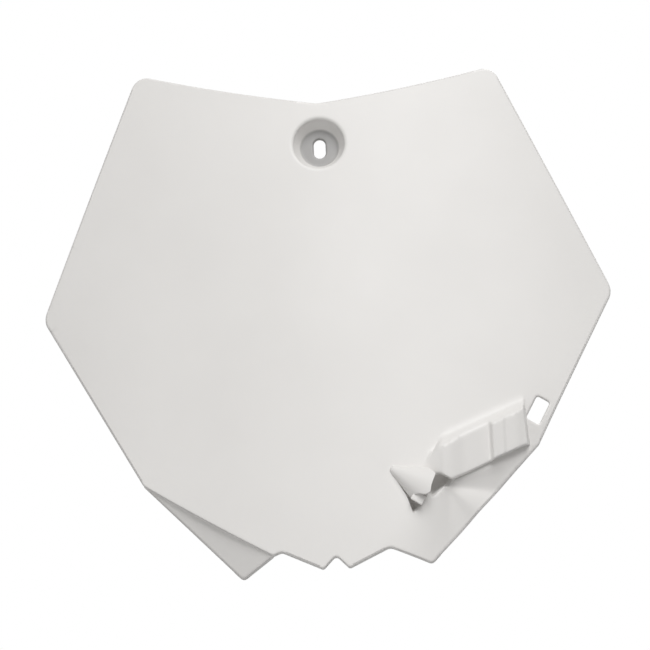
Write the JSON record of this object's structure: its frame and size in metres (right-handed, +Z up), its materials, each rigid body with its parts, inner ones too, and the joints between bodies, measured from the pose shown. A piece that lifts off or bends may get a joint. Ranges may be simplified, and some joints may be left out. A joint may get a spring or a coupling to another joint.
{
  "type": "racing number board",
  "caption": "Moulded front number board for an off-road race bike, with a screw cup near the top and a hose guide at the lower right.",
  "frame": {"origin": "middle of the screw slot, on the back of the screw cup's floor", "axes": "+X to the right seen from the front, +Y towards the bike behind the board, +Z up; the front face looks along -Y"},
  "size_m": [0.2844, 0.0375, 0.2591],
  "materials": {
    "board_plastic": "smooth moulded plastic, off-white, semi-gloss"
  },
  "bodies": {
    "root": {"number_plate": "board_plastic"}
  },
  "joints": []
}
